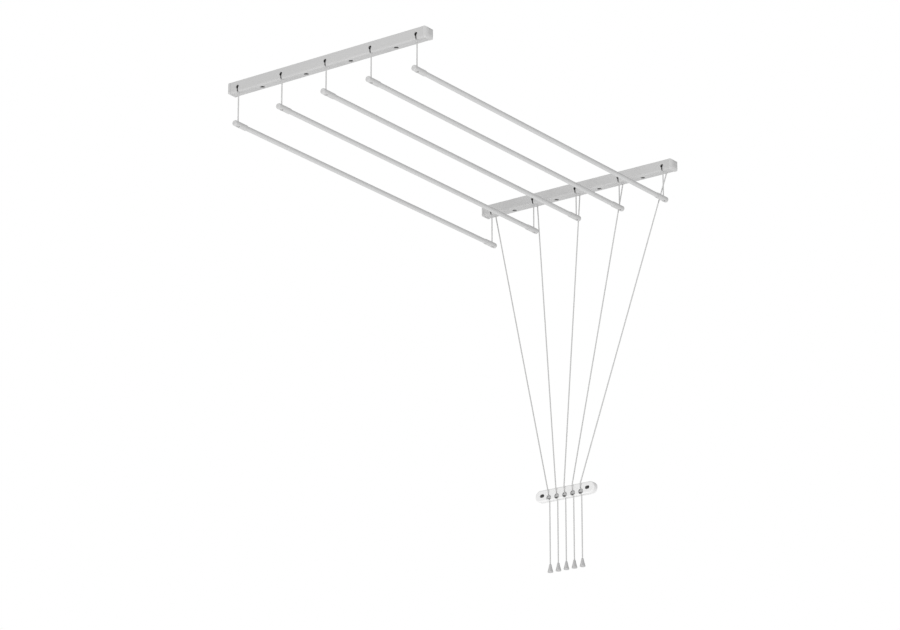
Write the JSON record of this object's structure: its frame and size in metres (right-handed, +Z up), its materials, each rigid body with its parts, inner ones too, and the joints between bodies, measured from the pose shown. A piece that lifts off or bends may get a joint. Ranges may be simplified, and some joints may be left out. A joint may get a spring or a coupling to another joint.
{
  "type": "ceiling mounted pulley rack",
  "caption": "Ceiling drying rack: hollow rails with pulleys inside, rods hung level on cords, and a wall bracket that holds the pull cords above their bell ends.",
  "frame": {"origin": "the middle of the far rail's ceiling face", "axes": "+X along the rods from the far rail to the near rail and the wall, +Y along the rails, +Z up, with Z = 0 at the ceiling"},
  "size_m": [0.9929, 0.538, 0.9075],
  "materials": {
    "rail_plastic": "satin light grey extruded plastic",
    "cap_plastic": "satin light grey moulded plastic",
    "rod_enamel": "smooth light grey coating on a steel tube",
    "bracket_plastic": "satin white moulded plastic",
    "grey_plastic": "satin mid grey moulded plastic",
    "dark_nylon": "matt black nylon",
    "axle_steel": "turned steel",
    "cord_polyester": "light grey braided polyester"
  },
  "bodies": {
    "root": {"far_rail": "rail_plastic", "far_rail_end_caps": "cap_plastic", "far_pulley_holders": "dark_nylon", "far_pulley_axles": "axle_steel", "far_cord_1": "cord_polyester", "pull_cord_1": "cord_polyester", "tail_cord_1": "cord_polyester", "far_cord_2": "cord_polyester", "pull_cord_2": "cord_polyester", "tail_cord_2": "cord_polyester", "far_cord_3": "cord_polyester", "pull_cord_3": "cord_polyester", "tail_cord_3": "cord_polyester", "far_cord_4": "cord_polyester", "pull_cord_4": "cord_polyester", "tail_cord_4": "cord_polyester", "far_cord_5": "cord_polyester", "pull_cord_5": "cord_polyester", "tail_cord_5": "cord_polyester", "near_rail": "rail_plastic", "near_rail_end_caps": "cap_plastic", "near_pulley_holders": "dark_nylon", "near_pulley_axles": "axle_steel", "near_cord_1": "cord_polyester", "near_cord_2": "cord_polyester", "near_cord_3": "cord_polyester", "near_cord_4": "cord_polyester", "near_cord_5": "cord_polyester", "wall_bracket": "bracket_plastic", "cord_stops": "grey_plastic"},
    "rod_body_1": {"rod_1": "rod_enamel", "rod_end_caps_1": "cap_plastic", "rod_knots_1": "cord_polyester"},
    "bell_body_1": {"bell_pull_1": "grey_plastic"},
    "far_wheel_1": {"far_pulley_1": "dark_nylon"},
    "near_wheel_1": {"near_pulley_1": "dark_nylon"},
    "rod_body_2": {"rod_2": "rod_enamel", "rod_end_caps_2": "cap_plastic", "rod_knots_2": "cord_polyester"},
    "bell_body_2": {"bell_pull_2": "grey_plastic"},
    "far_wheel_2": {"far_pulley_2": "dark_nylon"},
    "near_wheel_2": {"near_pulley_2": "dark_nylon"},
    "rod_body_3": {"rod_3": "rod_enamel", "rod_end_caps_3": "cap_plastic", "rod_knots_3": "cord_polyester"},
    "bell_body_3": {"bell_pull_3": "grey_plastic"},
    "far_wheel_3": {"far_pulley_3": "dark_nylon"},
    "near_wheel_3": {"near_pulley_3": "dark_nylon"},
    "rod_body_4": {"rod_4": "rod_enamel", "rod_end_caps_4": "cap_plastic", "rod_knots_4": "cord_polyester"},
    "bell_body_4": {"bell_pull_4": "grey_plastic"},
    "far_wheel_4": {"far_pulley_4": "dark_nylon"},
    "near_wheel_4": {"near_pulley_4": "dark_nylon"},
    "rod_body_5": {"rod_5": "rod_enamel", "rod_end_caps_5": "cap_plastic", "rod_knots_5": "cord_polyester"},
    "bell_body_5": {"bell_pull_5": "grey_plastic"},
    "far_wheel_5": {"far_pulley_5": "dark_nylon"},
    "near_wheel_5": {"near_pulley_5": "dark_nylon"}
  },
  "joints": [
    {"name": "rod_1_lift", "type": "slide", "parent": "root", "child": "rod_body_1", "axis": [0, 0, 1], "range_m": [-0.14, 0.0671], "deforming": ["far_cord_1", "near_cord_1"]},
    {"name": "bell_1_travel", "type": "slide", "parent": "root", "child": "bell_body_1", "axis": [0, 0, 1], "range_m": [-0.0676, 0.1405], "deforming": ["tail_cord_1"]},
    {"name": "far_pulley_1_spin", "type": "hinge", "parent": "root", "child": "far_wheel_1", "pos_m": [0, 0.24, -0.0131], "axis": [0, 1, 0], "continuous": true},
    {"name": "near_pulley_1_spin", "type": "hinge", "parent": "root", "child": "near_wheel_1", "pos_m": [0.936, 0.24, -0.0131], "axis": [0, 1, 0], "continuous": true},
    {"name": "rod_2_lift", "type": "slide", "parent": "root", "child": "rod_body_2", "axis": [0, 0, 1], "range_m": [-0.14, 0.0571], "deforming": ["far_cord_2", "near_cord_2"]},
    {"name": "bell_2_travel", "type": "slide", "parent": "root", "child": "bell_body_2", "axis": [0, 0, 1], "range_m": [-0.0576, 0.1405], "deforming": ["tail_cord_2"]},
    {"name": "far_pulley_2_spin", "type": "hinge", "parent": "root", "child": "far_wheel_2", "pos_m": [0, 0.12, -0.0131], "axis": [0, 1, 0], "continuous": true},
    {"name": "near_pulley_2_spin", "type": "hinge", "parent": "root", "child": "near_wheel_2", "pos_m": [0.936, 0.12, -0.0131], "axis": [0, 1, 0], "continuous": true},
    {"name": "rod_3_lift", "type": "slide", "parent": "root", "child": "rod_body_3", "axis": [0, 0, 1], "range_m": [-0.14, 0.0521], "deforming": ["far_cord_3", "near_cord_3"]},
    {"name": "bell_3_travel", "type": "slide", "parent": "root", "child": "bell_body_3", "axis": [0, 0, 1], "range_m": [-0.0526, 0.1405], "deforming": ["tail_cord_3"]},
    {"name": "far_pulley_3_spin", "type": "hinge", "parent": "root", "child": "far_wheel_3", "pos_m": [0, 0, -0.0131], "axis": [0, 1, 0], "continuous": true},
    {"name": "near_pulley_3_spin", "type": "hinge", "parent": "root", "child": "near_wheel_3", "pos_m": [0.936, 0, -0.0131], "axis": [0, 1, 0], "continuous": true},
    {"name": "rod_4_lift", "type": "slide", "parent": "root", "child": "rod_body_4", "axis": [0, 0, 1], "range_m": [-0.14, 0.0541], "deforming": ["far_cord_4", "near_cord_4"]},
    {"name": "bell_4_travel", "type": "slide", "parent": "root", "child": "bell_body_4", "axis": [0, 0, 1], "range_m": [-0.0546, 0.1405], "deforming": ["tail_cord_4"]},
    {"name": "far_pulley_4_spin", "type": "hinge", "parent": "root", "child": "far_wheel_4", "pos_m": [0, -0.12, -0.0131], "axis": [0, 1, 0], "continuous": true},
    {"name": "near_pulley_4_spin", "type": "hinge", "parent": "root", "child": "near_wheel_4", "pos_m": [0.936, -0.12, -0.0131], "axis": [0, 1, 0], "continuous": true},
    {"name": "rod_5_lift", "type": "slide", "parent": "root", "child": "rod_body_5", "axis": [0, 0, 1], "range_m": [-0.14, 0.0591], "deforming": ["far_cord_5", "near_cord_5"]},
    {"name": "bell_5_travel", "type": "slide", "parent": "root", "child": "bell_body_5", "axis": [0, 0, 1], "range_m": [-0.0596, 0.1405], "deforming": ["tail_cord_5"]},
    {"name": "far_pulley_5_spin", "type": "hinge", "parent": "root", "child": "far_wheel_5", "pos_m": [0, -0.24, -0.0131], "axis": [0, 1, 0], "continuous": true},
    {"name": "near_pulley_5_spin", "type": "hinge", "parent": "root", "child": "near_wheel_5", "pos_m": [0.936, -0.24, -0.0131], "axis": [0, 1, 0], "continuous": true}
  ],
  "couplings": [
    {"joint": "bell_1_travel", "follows": "rod_1_lift", "ratio": -1},
    {"joint": "far_pulley_1_spin", "follows": "rod_1_lift", "rad_per_m": 126.58},
    {"joint": "near_pulley_1_spin", "follows": "rod_1_lift", "rad_per_m": 126.58},
    {"joint": "bell_2_travel", "follows": "rod_2_lift", "ratio": -1},
    {"joint": "far_pulley_2_spin", "follows": "rod_2_lift", "rad_per_m": 126.58},
    {"joint": "near_pulley_2_spin", "follows": "rod_2_lift", "rad_per_m": 126.58},
    {"joint": "bell_3_travel", "follows": "rod_3_lift", "ratio": -1},
    {"joint": "far_pulley_3_spin", "follows": "rod_3_lift", "rad_per_m": 126.58},
    {"joint": "near_pulley_3_spin", "follows": "rod_3_lift", "rad_per_m": 126.58},
    {"joint": "bell_4_travel", "follows": "rod_4_lift", "ratio": -1},
    {"joint": "far_pulley_4_spin", "follows": "rod_4_lift", "rad_per_m": 126.58},
    {"joint": "near_pulley_4_spin", "follows": "rod_4_lift", "rad_per_m": 126.58},
    {"joint": "bell_5_travel", "follows": "rod_5_lift", "ratio": -1},
    {"joint": "far_pulley_5_spin", "follows": "rod_5_lift", "rad_per_m": 126.58},
    {"joint": "near_pulley_5_spin", "follows": "rod_5_lift", "rad_per_m": 126.58}
  ]
}
